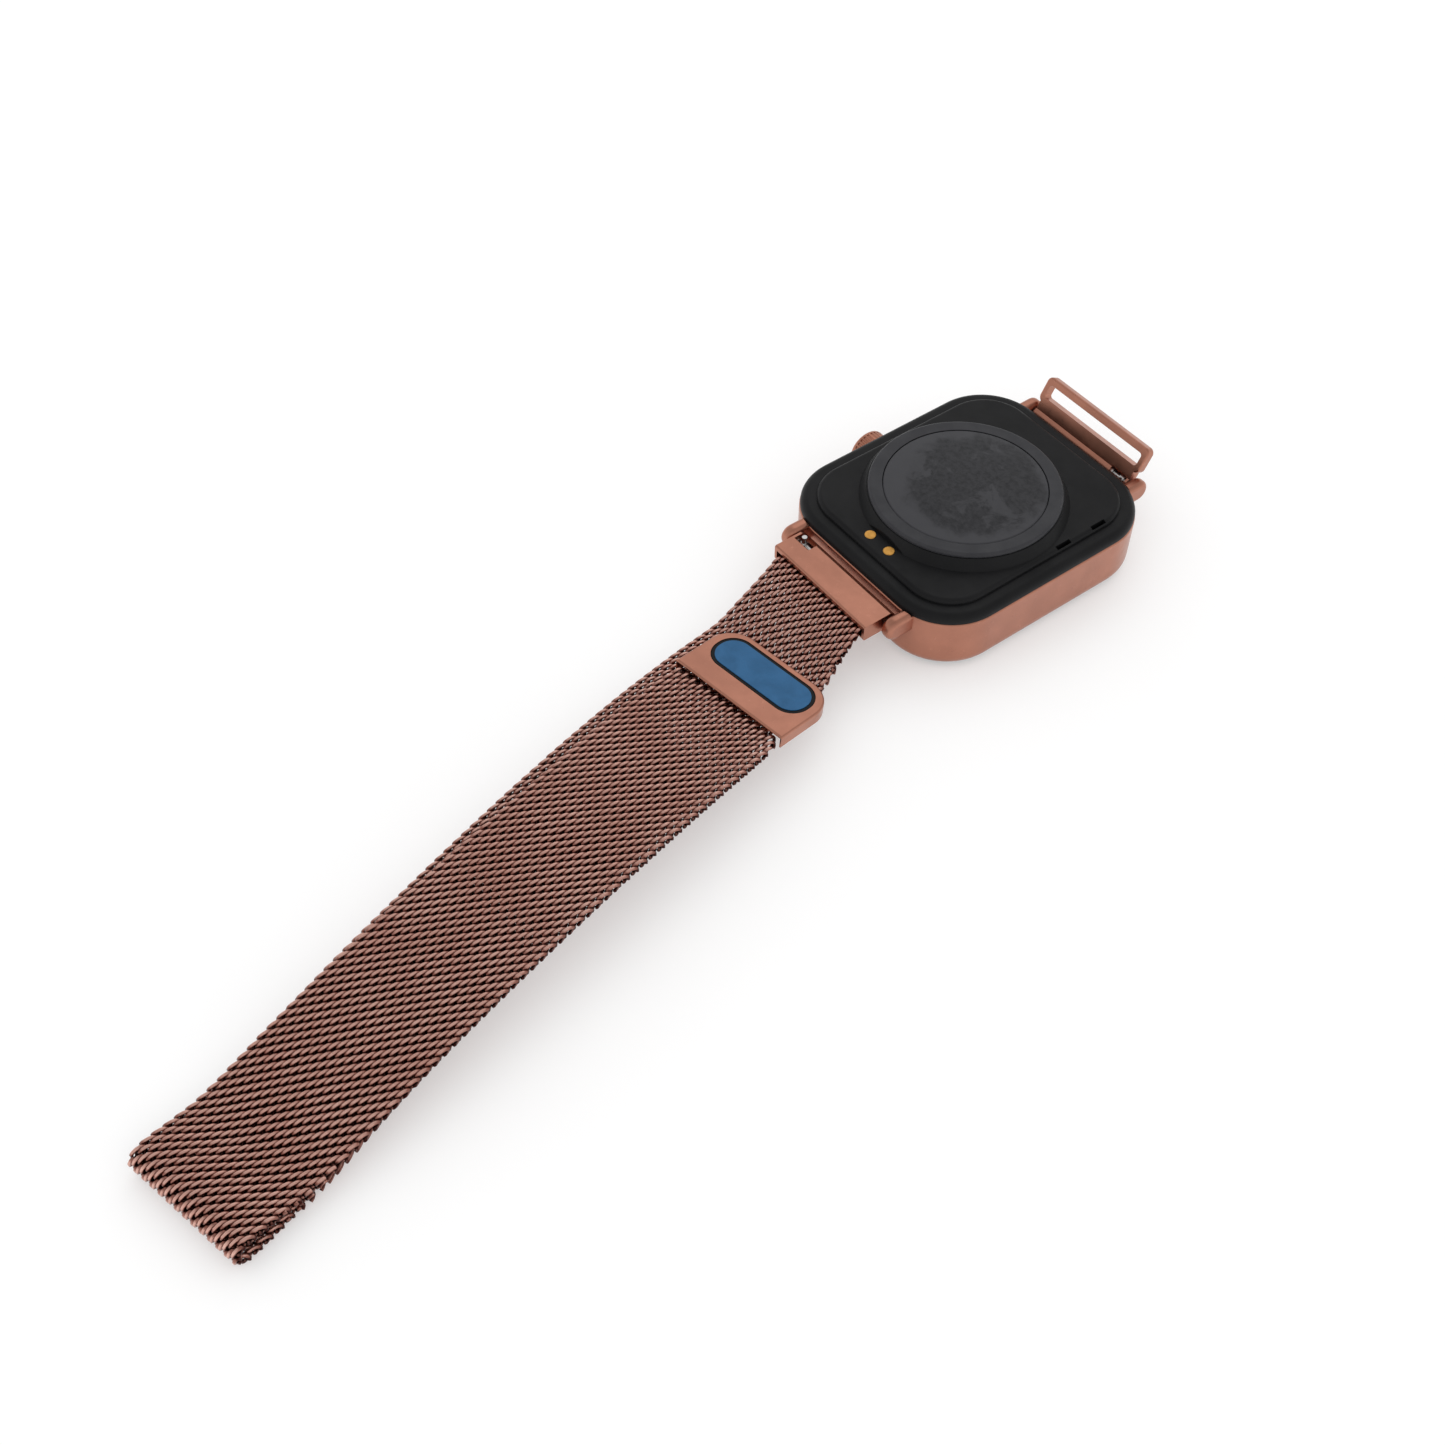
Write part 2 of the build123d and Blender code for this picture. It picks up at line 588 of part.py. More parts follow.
def clasp_plate():
    """Metal clasp with a window for the inlay and a rebate for the mesh."""
    half = (CLASP_U1 - CLASP_U0) / 2
    outline = Rectangle(2 * CLASP_HX, 2 * half)
    tip = [v for v in outline.vertices() if v.Y > 0]
    outline = fillet(tip, CLASP_R)
    plate = extrude(Pos(0, 0, -CLASP_T / 2) * outline, CLASP_T)
    plate = fillet(edges_at(plate, CLASP_T / 2), 0.3)
    y = INLAY_Y
    plate -= extrude(Pos(0, y, 0.45) * RectangleRounded(16.8, 6.4, 3.0), 1.0)
    plate -= extrude(Pos(0, y, -1.5) * RectangleRounded(15.2, 4.8, 2.3), 1.75)
    return clasp(plate - block(-SLOT_HX, SLOT_HX, -half - 1.0, -half + SLOT_DEPTH, -1.5, 0.62))


INLAY_Y = (CLASP_U0 + CLASP_U1) / 2 - INLAY_U


def clasp_magnet():
    """Flat magnet in the underside of the clasp."""
    return clasp(extrude(Pos(0, INLAY_Y, -0.88) * RectangleRounded(15.0, 4.6, 2.2), 1.1))


def clasp_inlay():
    """Dark inlay in the top of the clasp."""
    plate = extrude(Pos(0, INLAY_Y, 0.45) * RectangleRounded(16.7, 6.3, 2.95), 0.4)
    return clasp(fillet(edges_at(plate, 0.85), 0.1))


def clasp_film():
    """Protective film on the inlay."""
    return clasp(extrude(Pos(0, INLAY_Y, 0.85) * RectangleRounded(15.7, 5.3, 2.5), 0.12))


# ================================================================ build
def parts():
    """Every node by name."""
    nodes = {
        "case_frame": case_frame(),
        "display_glass": display_glass(),
        "glass_adhesive": glass_adhesive(),
        "display_panel": display_panel(),
        "main_board": main_board(),
        "board_chips": board_chips(),
        "board_shield": board_shield(),
        "chassis": chassis(),
        "battery": battery(),
        "vibration_motor": vibration_motor(),
        "loudspeaker": loudspeaker(),
        "side_switch": side_switch(),
        "back_cover": back_cover(),
        "cover_gasket": cover_gasket(),
        "sensor_ring": sensor_ring(),
        "sensor_window": sensor_window(),
        "sensor_board": sensor_board(),
        "sensor_emitters": sensor_emitters(),
        "sensor_barrier": sensor_barrier(),
        "charge_pin_left": charge_pin(-1),
        "charge_pin_right": charge_pin(1),
        "crown_sleeve": crown_sleeve(),
        "crown_stem": crown_stem(),
        "crown_seal": crown_seal(),
        "crown_knob": crown_knob(),
        "end_link": end_link(),
        "near_bar_tube": near(bar_tube()),
        "near_bar_spring": near(bar_spring()),
        "near_bar_plunger": near(bar_plunger(1.7)),
        "far_loop": far_loop(),
        "far_bar_tube": far(bar_tube()),
        "far_bar_spring": far(bar_spring()),
        "far_bar_plunger": far(bar_plunger(1.45)),
        "mesh_root": mesh_root(),
        "mesh_neck": mesh_neck(),
        "mesh_tail": mesh_tail(),
        "mesh_fold": mesh_fold(),
        "clasp_plate": clasp_plate(),
        "clasp_magnet": clasp_magnet(),
        "clasp_inlay": clasp_inlay(),
        "clasp_film": clasp_film(),
    }
    corners = {"a": (-1, -1), "b": (1, -1), "c": (1, 1), "d": (-1, 1)}
    for letter, (sx, sy) in corners.items():
        nodes[f"chassis_screw_{letter}"] = chassis_screw(sx, sy)
    for k in range(1, len(STATIONS)):
        nodes[f"mesh_lower_{k}"] = mesh_lower(k)
        nodes[f"mesh_upper_{k}"] = mesh_upper(k)
    return nodes


os.makedirs("parts", exist_ok=True)
for name, shape in parts().items():
    export_step(shape, f"parts/{name}.step")
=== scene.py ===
import math
import bpy
import numpy as np
from mathutils import Matrix, Vector


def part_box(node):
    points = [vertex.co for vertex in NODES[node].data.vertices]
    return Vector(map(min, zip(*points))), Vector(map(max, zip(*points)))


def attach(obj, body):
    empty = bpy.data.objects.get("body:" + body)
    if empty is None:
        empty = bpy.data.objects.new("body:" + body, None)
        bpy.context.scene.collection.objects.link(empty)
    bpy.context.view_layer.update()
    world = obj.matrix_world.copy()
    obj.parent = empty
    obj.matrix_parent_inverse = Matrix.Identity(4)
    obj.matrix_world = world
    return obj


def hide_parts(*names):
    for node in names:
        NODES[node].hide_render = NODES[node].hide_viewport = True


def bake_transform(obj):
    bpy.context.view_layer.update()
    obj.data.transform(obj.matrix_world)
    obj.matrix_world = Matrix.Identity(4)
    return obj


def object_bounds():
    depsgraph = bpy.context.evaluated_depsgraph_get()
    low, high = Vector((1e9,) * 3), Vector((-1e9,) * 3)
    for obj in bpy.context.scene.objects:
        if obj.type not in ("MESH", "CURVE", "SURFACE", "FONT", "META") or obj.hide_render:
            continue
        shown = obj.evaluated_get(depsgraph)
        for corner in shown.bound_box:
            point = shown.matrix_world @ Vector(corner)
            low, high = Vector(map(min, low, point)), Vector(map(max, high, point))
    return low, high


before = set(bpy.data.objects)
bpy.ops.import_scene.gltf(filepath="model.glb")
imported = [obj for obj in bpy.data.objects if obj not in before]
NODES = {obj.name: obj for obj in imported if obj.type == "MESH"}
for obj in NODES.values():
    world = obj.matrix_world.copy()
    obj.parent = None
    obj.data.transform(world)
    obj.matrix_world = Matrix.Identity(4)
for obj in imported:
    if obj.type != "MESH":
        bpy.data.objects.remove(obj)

CAD_BOX = [list(c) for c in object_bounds()]
MM = 0.001


# ---------------------------------------------------------------- camera
AZIMUTH, ELEVATION, ROLL = 52.57, 50.18, 0.76
DISTANCE, TARGET = 0.25092, (0.00572, -0.04814, 0.0)
LENS, SENSOR = 46.05, 36.0


def make_camera():
    """Camera at the photograph's viewing angle, aimed at the table under the clasp."""
    azimuth, elevation, roll = math.radians(AZIMUTH), math.radians(ELEVATION), math.radians(ROLL)
    back = Vector((math.sin(azimuth) * math.cos(elevation), -math.cos(azimuth) * math.cos(elevation),
                   math.sin(elevation)))
    right = Vector((math.cos(azimuth), math.sin(azimuth), 0.0))
    up = back.cross(right)
    rolled_right = right * math.cos(roll) + up * math.sin(roll)
    rolled_up = up * math.cos(roll) - right * math.sin(roll)
    data = bpy.data.cameras.new("camera")
    data.sensor_width = SENSOR
    data.lens = LENS
    data.clip_start, data.clip_end = 0.01, 20.0
    cam = bpy.data.objects.new("camera", data)
    turn = Matrix((rolled_right, rolled_up, back)).transposed().to_4x4()
    cam.matrix_world = Matrix.Translation(Vector(TARGET) + back * DISTANCE) @ turn
    bpy.context.scene.collection.objects.link(cam)
    bpy.context.scene.camera = cam


# ---------------------------------------------------------------- materials
class Nodes:
    """A material with a Principled shader and short ways to add procedural detail."""

    def __init__(self, name, **values):
        self.mat = bpy.data.materials.new(name)
        self.mat.use_nodes = True
        self.tree = self.mat.node_tree
        self.shader = self.tree.nodes["Principled BSDF"]
        for key, value in values.items():
            self.shader.inputs[key.replace("_", " ")].default_value = value
        self.coords = self.add("ShaderNodeTexCoord").outputs["Object"]

    def add(self, kind, inputs=(), **props):
        node = self.tree.nodes.new(kind)
        for key, value in props.items():
            setattr(node, key, value)
        for key, value in dict(inputs).items():
            if isinstance(value, bpy.types.NodeSocket):
                self.tree.links.new(value, node.inputs[key])
            else:
                node.inputs[key].default_value = value
        return node

    def noise(self, scale, detail=3.0, rough=0.5, distort=0.0, coords=None):
        values = {"Vector": coords or self.coords, "Scale": scale, "Detail": detail, "Roughness": rough,
                  "Distortion": distort}
        return self.add("ShaderNodeTexNoise", values).outputs["Fac"]

    def remap(self, value, a, b, c, d, smooth=False):
        values = {"Value": value, "From Min": a, "From Max": b, "To Min": c, "To Max": d}
        kind = "SMOOTHSTEP" if smooth else "LINEAR"
        return self.add("ShaderNodeMapRange", values, interpolation_type=kind).outputs["Result"]

    def mix(self, fac, a, b):
        node = self.add("ShaderNodeMix", data_type="RGBA")
        for index, value in ((0, fac), (6, a), (7, b)):
            if isinstance(value, bpy.types.NodeSocket):
                self.tree.links.new(value, node.inputs[index])
            elif index:
                node.inputs[index].default_value = (*value, 1.0)
            else:
                node.inputs[index].default_value = value
        return node.outputs[2]

    def math(self, op, a, b=0.0, c=0.0):
        node = self.add("ShaderNodeMath", operation=op)
        for index, value in enumerate((a, b, c)):
            if isinstance(value, bpy.types.NodeSocket):
                self.tree.links.new(value, node.inputs[index])
            else:
                node.inputs[index].default_value = value
        return node.outputs[0]

    def into(self, socket, value):
        self.tree.links.new(value, self.shader.inputs[socket])
        return self

    def bump(self, height, distance, strength=1.0):
        node = self.add("ShaderNodeBump", {"Height": height, "Distance": distance, "Strength": strength})
        return self.into("Normal", node.outputs["Normal"])


def plain(name, colour, rough, metallic=0.0, vary=0.25, scale=600.0, fine=5000.0, depth=0.00001, **more):
    """A material with gentle colour variation, uneven roughness and a fine surface grain."""
    n = Nodes(name, Metallic=metallic, **more)
    cloud = n.noise(scale, 4.0)
    dark = tuple(v * (1 - vary) for v in colour)
    light = tuple(min(1.0, v * (1 + vary)) for v in colour)
    n.into("Base Color", n.mix(n.remap(cloud, 0.3, 0.7, 0.0, 1.0), dark, light))
    n.into("Roughness", n.remap(n.noise(scale * 2.3, 5.0), 0.3, 0.7, rough * 0.85, rough * 1.15))
    n.bump(n.noise(fine, 2.0), depth, 0.6)
    return n.mat


ROSE = (0.44, 0.195, 0.134)


def rose_metal(name, rough, grain=9000.0, depth=0.000004):
    """Bead-blasted rose gold plating, a little paler and smoother in rubbed specks."""
    n = Nodes(name, Metallic=1.0)
    cloud = n.noise(220.0, 4.0)
    darker, lighter = tuple(v * 0.93 for v in ROSE), tuple(v * 1.06 for v in ROSE)
    base = n.mix(n.remap(cloud, 0.35, 0.65, 0.0, 1.0), darker, lighter)
    rubbed = n.remap(n.noise(1400.0, 5.0, 0.7), 0.60, 0.72, 0.0, 0.35, True)
    n.into("Base Color", n.mix(rubbed, base, (0.62, 0.31, 0.22)))
    uneven = n.remap(n.noise(900.0, 5.0), 0.3, 0.7, rough * 0.88, rough * 1.12)
    n.into("Roughness", n.math("SUBTRACT", uneven, n.math("MULTIPLY", rubbed, 0.15)))
    n.bump(n.noise(grain, 2.0), depth, 0.7)
    return n.mat


def wire_metal():
    """Plated wire with painted light: a painted highlight, far paler than the plating, on the crowns of the
    coils, and painted shade, near black-brown, where they nest.
    """
    n = Nodes("mesh_wire", Metallic=1.0)
    crown = n.add("ShaderNodeAttribute", attribute_name="crown").outputs["Fac"]
    # painted shade: near black-brown deep in the nest of the coils, lightening up their flanks
    shaded_flank = n.mix(n.remap(crown, 0.22, 0.66, 0.0, 1.0, True), (0.045, 0.010, 0.008), (0.29, 0.118, 0.090))
    cloud = n.remap(n.noise(140.0, 4.0), 0.35, 0.65, 0.0, 1.0)
    # painted highlight: the crowns of the coils are painted far paler than the plating
    highlight_crest = n.mix(cloud, (0.68, 0.37, 0.30), (0.80, 0.48, 0.40))
    base = n.mix(n.remap(crown, 0.68, 0.97, 0.0, 1.0, True), shaded_flank, highlight_crest)
    # painted highlight: paler streaks, strongest on the crowns
    highlight_streak = n.remap(n.noise(2600.0, 2.0), 0.4, 0.75, 0.0, 0.25)
    n.into("Base Color", n.mix(n.math("MULTIPLY", highlight_streak, crown), base, (0.86, 0.60, 0.52)))
    n.into("Roughness", n.remap(n.noise(1500.0, 4.0), 0.3, 0.7, 0.22, 0.34))
    n.bump(n.noise(12000.0, 2.0), 0.000004, 0.5)
    return n.mat


def cover_plastic():
    """Satin black cover: fine moulded grain and faint handling haze."""
    n = Nodes("black_plastic", Specular_IOR_Level=0.16)
    haze = n.remap(n.noise(120.0, 5.0), 0.35, 0.7, 0.0, 1.0)
    n.into("Base Color", n.mix(haze, (0.0045, 0.0046, 0.0052), (0.0085, 0.0085, 0.0092)))
    n.into("Roughness", n.remap(n.noise(500.0, 5.0), 0.3, 0.7, 0.40, 0.50))
    n.bump(n.noise(7000.0, 3.0), 0.000008, 0.6)
    return n.mat


def bezel_plastic():
    """Charcoal ring around the window, spun fine."""
    n = Nodes("grey_bezel", Specular_IOR_Level=0.2)
    haze = n.remap(n.noise(300.0, 4.0), 0.35, 0.65, 0.0, 1.0)
    n.into("Base Color", n.mix(haze, (0.028, 0.028, 0.032), (0.036, 0.036, 0.040)))
    n.into("Roughness", n.remap(n.noise(900.0, 4.0), 0.3, 0.7, 0.38, 0.48))
    n.bump(n.noise(6000.0, 3.0), 0.000008, 0.6)
    return n.mat


MOTTLE_OFFSET = (0.0008, 0.0010, 0.0)
MOTTLE_EDGE = (0.0088, 0.0112)


def window_lens():
    """Dark coated window: cloudy mottling in the middle that thins out to a plain rim."""
    lo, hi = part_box("sensor_window")
    middle = [(lo[i] + hi[i]) / 2 + MOTTLE_OFFSET[i] for i in range(3)]
    n = Nodes("sensor_lens", Specular_IOR_Level=0.2, Coat_Weight=0.12, Coat_Roughness=0.25)
    moved = n.add("ShaderNodeVectorMath", {0: n.coords, 1: middle}, operation="SUBTRACT").outputs["Vector"]
    level = {0: moved, 1: (1.0, 1.0, 0.0)}
    flat = n.add("ShaderNodeVectorMath", level, operation="MULTIPLY").outputs["Vector"]
    radius = n.add("ShaderNodeVectorMath", {0: flat}, operation="LENGTH").outputs["Value"]
    wobble = n.math("MULTIPLY_ADD", n.noise(260.0, 4.0, 0.6), 0.006, -0.003)
    inner = n.remap(n.math("ADD", radius, wobble), *MOTTLE_EDGE, 1.0, 0.0, True)
    patches = n.remap(n.noise(190.0, 5.0, 0.62, 0.6), 0.50, 0.60, 1.0, 0.0, True)
    speck = n.remap(n.noise(1300.0, 4.0, 0.7), 0.42, 0.68, 0.55, 1.0)
    blotch = n.math("MULTIPLY", inner, n.remap(patches, 0.0, 1.0, 0.25, 1.0))
    dark = n.math("MULTIPLY", blotch, speck)
    n.into("Base Color", n.mix(dark, (0.038, 0.038, 0.043), (0.0055, 0.0055, 0.0075)))
    n.into("Roughness", n.remap(n.noise(700.0, 4.0), 0.3, 0.7, 0.34, 0.46))
    n.bump(n.noise(2500.0, 3.0), 0.000003, 0.4)
    return n.mat


def blue_film():
    """Thin protective film with faint creases and trapped haze."""
    n = Nodes("blue_film", Specular_IOR_Level=0.2)
    haze = n.remap(n.noise(350.0, 5.0, 0.6, 0.5), 0.35, 0.65, 0.0, 1.0)
    n.into("Base Color", n.mix(haze, (0.016, 0.090, 0.205), (0.023, 0.112, 0.250)))
    n.into("Roughness", n.remap(n.noise(1200.0, 4.0), 0.3, 0.7, 0.30, 0.42))
    n.bump(n.noise(420.0, 4.0, 0.6, 0.8), 0.00002, 0.5)
    return n.mat


def make_materials():
    """One finish per material slot of the record."""
    return {
        "rose_gold": rose_metal("rose_gold", 0.31),
        "mesh_wire": wire_metal(),
        "black_plastic": cover_plastic(),
        "cover_glass": plain("cover_glass", (0.006, 0.006, 0.008), 0.08, vary=0.1, scale=90, depth=0.000001),
        "black_adhesive": plain("black_adhesive", (0.015, 0.015, 0.015), 0.6),
        "display": plain("display", (0.01, 0.01, 0.014), 0.3),
        "circuit_board": plain("circuit_board", (0.012, 0.07, 0.035), 0.42, vary=0.3, scale=1500),
        "chip_resin": plain("chip_resin", (0.018, 0.018, 0.02), 0.5),
        "plain_steel": plain("plain_steel", (0.56, 0.55, 0.54), 0.28, 1.0, vary=0.12, scale=1800),
        "dark_plastic": plain("dark_plastic", (0.014, 0.014, 0.016), 0.5),
        "cell_foil": plain("cell_foil", (0.42, 0.42, 0.44), 0.35, 1.0, vary=0.1, scale=500),
        "seal_rubber": plain("seal_rubber", (0.012, 0.012, 0.012), 0.7),
        "grey_bezel": bezel_plastic(),
        "sensor_lens": window_lens(),
        "emitter_resin": plain("emitter_resin", (0.35, 0.5, 0.25), 0.2, vary=0.2, scale=1200),
        "gold_contact": plain("gold_contact", (0.60, 0.31, 0.075), 0.34, 1.0, vary=0.12, scale=1800),
        "magnet_plating": plain("magnet_plating", (0.5, 0.5, 0.5), 0.25, 1.0, vary=0.1),
        "black_gloss": plain("black_gloss", (0.005, 0.005, 0.006), 0.25, vary=0.2, Specular_IOR_Level=0.12),
        "blue_film": blue_film(),
    }


# ---------------------------------------------------------------- woven strap
# the strap's own frame, in mm as in the CAD: stations run from the end link, heights are above the table
ARCH = [(0, 5.70), (11.8, 4.72), (24, 6.00), (30, 6.52), (36, 6.92), (45, 7.22), (55, 7.20), (65, 6.85),
        (75, 6.15), (85, 4.98), (95, 3.05), (101, 1.75), (106, 1.00), (110, 0.80), (116, 0.80)]
STRAP_X, STRAP_Y = 2.4, -27.35
YAW = math.radians(13.3)
LAYER_PITCH, FOLD_U, FOLD_R = 1.5, 112.6, 1.5
LIFT_U = 103.0
# station given to the turn of the fold; the upper layer's stations are mirrored about it
TURN_U = FOLD_U + 3.0
HINGES = [36, 49, 62, 75, 88, 101]
HALF_HINGE = 4.5
PEEL_BLEND = (30.5, 35.0)
PEEL_CLEAR = 0.9
NECK_MID, LOWER_START, FOLD_START = 7.2, 24.0, 107.0
ROOT_BLEND = ((1.2, -28.5, 7.4), (1.2, -34.0, 6.6))
NECK_BLEND = ((8.2, 0, 6), (16, 0, 5))
ROOT_INSET = 0.95
# middle line at the end link: x, y, height, angle of the rows, station
ROOT_LINE = [(0.0, -25.45, 7.65, 0.0, -3.0), (0.0, STRAP_Y, 7.65, 0.0, -0.5), (1.2, -30.4, 7.3, 0.0, 3.1)]
LINE_STEP, SMOOTH, FOLD_SMOOTH, FOLD_REACH = 0.1, 1.1, 0.35, 6.0
WIRE_R, COIL_LIFT, COIL_REACH = 0.25, 0.45, 0.84
COIL_STEP, COIL_PITCH = 0.79, 1.39
TURN_STEPS, WIRE_SIDES = 12, 6
TAIL_END_U = 21.9
# sideways offset of each layer, against the station
SHIFT_LOWER = ([11.8, 20.0, 30.0, 50.0, 70.0, 90.0, 112.6], [-1.45, -1.8, -1.9, -1.65, -1.15, -0.9, -0.8])
SHIFT_UPPER = ([20.0, 30.0, 50.0, 70.0, 90.0, 112.6], [0.75, 1.05, 0.75, 0.35, -0.15, -0.8])
# half the mesh's width: narrower where the end link and the clasp clamp it
HALF_LOWER = ([3.0, 12.0, 98.0, 108.0], [9.25, 9.7, 9.6, 9.35])
HALF_UPPER = ([23.5, 27.0, 98.0, 108.0], [9.3, 9.7, 9.6, 9.35])
# angle of the mesh's rows to the case, against the station: the clasp turns the end of the upper layer
TURN_LOWER = ([11.8, 27.0], [YAW * 0.55, YAW])
TURN_UPPER = ([22.5, 31.0], [YAW - math.radians(5.0), YAW])


def arch(u):
    """Height of the lower layer's middle along the strap, in mm."""
    for i in range(1, len(ARCH)):
        if u <= ARCH[i][0] or i == len(ARCH) - 1:
            break
    (u0, z0), (u1, z1) = ARCH[i - 1], ARCH[i]
    t = (u - u0) / (u1 - u0)
    if u1 <= LOWER_START:
        return z0 + (z1 - z0) * t
    ua, za = ARCH[i - 2]
    ub, zb = ARCH[min(i + 1, len(ARCH) - 1)]
    m0, m1, h = (z1 - za) / (u1 - ua), (zb - z0) / (ub - u0), u1 - u0
    return ((2 * t**3 - 3 * t**2 + 1) * z0 + (t**3 - 2 * t**2 + t) * h * m0
            + (3 * t**2 - 2 * t**3) * z1 + (t**3 - t**2) * h * m1)


def upper_arch(u):
    """Height of the upper layer's middle: on the lower layer, lifting into the fold."""
    lift = max(0.0, min(1.0, (u - LIFT_U) / (FOLD_U - LIFT_U)))
    lift = lift * lift * (3 - 2 * lift)
    return arch(u) + LAYER_PITCH + lift * (2 * FOLD_R - LAYER_PITCH)


def on_strap(u, v, z):
    """A point of the strap's own frame, u along and v across, in mm."""
    sine, cosine = math.sin(YAW), math.cos(YAW)
    return (STRAP_X + u * sine + v * cosine, STRAP_Y - u * cosine + v * sine, z)


def smooth(rows, step, sigma):
    """Gaussian smoothing along an evenly stepped line, with its ends held straight."""
    half = int(3 * sigma / step)
    kernel = np.exp(-0.5 * (np.arange(-half, half + 1) * step / sigma) ** 2)
    kernel /= kernel.sum()
    first = rows[0] + (rows[0] - rows[1]) * np.arange(half, 0, -1)[:, None]
    last = rows[-1] + (rows[-1] - rows[-2]) * np.arange(1, half + 1)[:, None]
    padded = np.vstack([first, rows, last])
    return np.stack([np.convolve(padded[:, k], kernel, "valid") for k in range(rows.shape[1])], 1)


def strap_line():
    """The strap's middle line as one ribbon: end link, neck, lower layer, fold, upper layer, clasp.
    Returns evenly stepped points, across and normal vectors, and the along-strap station of each."""
    rows = list(ROOT_LINE)
    start = SHIFT_LOWER[0][0]
    x, y, z = on_strap(start, SHIFT_LOWER[1][0], arch(start) + 0.10)
    rows.append((x, y, z, TURN_LOWER[1][0], start))
    for u in np.arange(13.0, FOLD_U, 0.5):
        rows.append((*on_strap(u, np.interp(u, *SHIFT_LOWER), arch(u)), np.interp(u, *TURN_LOWER), u))
    centre, v = arch(FOLD_U) + FOLD_R, SHIFT_LOWER[1][-1]
    for a in np.radians(np.arange(-90, 91, 15)):
        point = on_strap(FOLD_U + FOLD_R * math.cos(a), v, centre + FOLD_R * math.sin(a))
        rows.append((*point, YAW, TURN_U))
    for u in np.arange(FOLD_U - 0.5, TAIL_END_U, -0.5):
        point = on_strap(u, np.interp(u, *SHIFT_UPPER), upper_arch(u))
        rows.append((*point, np.interp(u, *TURN_UPPER), 2 * TURN_U - u))
    rows = np.array(rows)
    length = np.concatenate([[0], np.cumsum(np.linalg.norm(np.diff(rows[:, :3], axis=0), axis=1))])
    even = np.arange(0, length[-1], LINE_STEP)
    rows = np.stack([np.interp(even, length, rows[:, k]) for k in range(5)], 1)
    mid = smooth(rows[:, :4], LINE_STEP, SMOOTH)
    fold = np.clip(1 - np.abs(rows[:, 4] - TURN_U) / FOLD_REACH, 0, 1)[:, None]
    mid = mid * (1 - fold) + smooth(rows[:, :4], LINE_STEP, FOLD_SMOOTH) * fold
    tangent = np.gradient(mid[:, :3], axis=0)
    tangent /= np.linalg.norm(tangent, axis=1)[:, None]
    across = np.stack([np.cos(mid[:, 3]), np.sin(mid[:, 3]), np.zeros(len(mid))], 1)
    normal = np.cross(tangent, across)
    normal /= np.linalg.norm(normal, axis=1)[:, None]
    return even, mid[:, :3], across, normal, rows[:, 4]


def coil_points(line, s, index):
    """One flat coil of wire across the strap, with its ends turned in at the selvedges."""
    even, mid, across, normal, station = line
    u = np.interp(s, even, station)
    clear = np.interp(2 * TURN_U - u, *HALF_UPPER) if u > TURN_U else np.interp(u, *HALF_LOWER)
    half = clear - WIRE_R
    turns = 2 * half / COIL_PITCH
    first = 0.0 if index % 2 else math.pi
    count = int(round(turns * TURN_STEPS)) + 1
    t = first + np.arange(count) * 2 * math.pi / TURN_STEPS
    v = np.clip((t - t.mean()) / (2 * math.pi) * COIL_PITCH, -half, half)
    along = s + COIL_REACH * np.cos(t)
    lift = COIL_LIFT * np.sin(t)

    def at(values):
        return np.stack([np.interp(along, even, values[:, k]) for k in range(3)], 1)

    side, out = at(across), at(normal)
    return at(mid) + side * v[:, None] + out * lift[:, None], side, out, lift


def tube(points, side, out, lift):
    """Vertices and quads of a round wire along the points, capped at both ends, and how near each
    vertex is to the mesh's face, from 0 in its middle to 1."""
    tangent = np.gradient(points, axis=0)
    tangent /= np.linalg.norm(tangent, axis=1)[:, None]
    one = side - tangent * (side * tangent).sum(1)[:, None]
    one /= np.linalg.norm(one, axis=1)[:, None]
    two = np.cross(tangent, one)
    angle = np.arange(WIRE_SIDES) * 2 * math.pi / WIRE_SIDES
    ring = (one[:, None, :] * np.cos(angle)[None, :, None] + two[:, None, :] * np.sin(angle)[None, :, None])
    verts = (points[:, None, :] + ring * WIRE_R).reshape(-1, 3)
    height = lift[:, None] + (ring * out[:, None, :]).sum(2) * WIRE_R
    crown = np.abs(height).reshape(-1) / (COIL_LIFT + WIRE_R)
    n = len(points)
    start, corner = np.arange(n - 1)[:, None] * WIRE_SIDES, np.arange(WIRE_SIDES)[None, :]
    a = (start + corner).reshape(-1)
    b = (start + (corner + 1) % WIRE_SIDES).reshape(-1)
    quads = np.stack([a, b, b + WIRE_SIDES, a + WIRE_SIDES], 1).tolist()
    caps = [list(range(WIRE_SIDES))[::-1], list(range((n - 1) * WIRE_SIDES, n * WIRE_SIDES))]
    return verts, quads + caps, crown


def new_mesh(name, verts, faces, material):
    mesh = bpy.data.meshes.new(name)
    mesh.from_pydata((np.asarray(verts) * MM).tolist(), [], faces)
    mesh.validate()
    mesh.polygons.foreach_set("use_smooth", [True] * len(mesh.polygons))
    mesh.materials.append(material)
    mesh.update()
    obj = bpy.data.objects.new(name, mesh)
    bpy.context.scene.collection.objects.link(obj)
    return obj


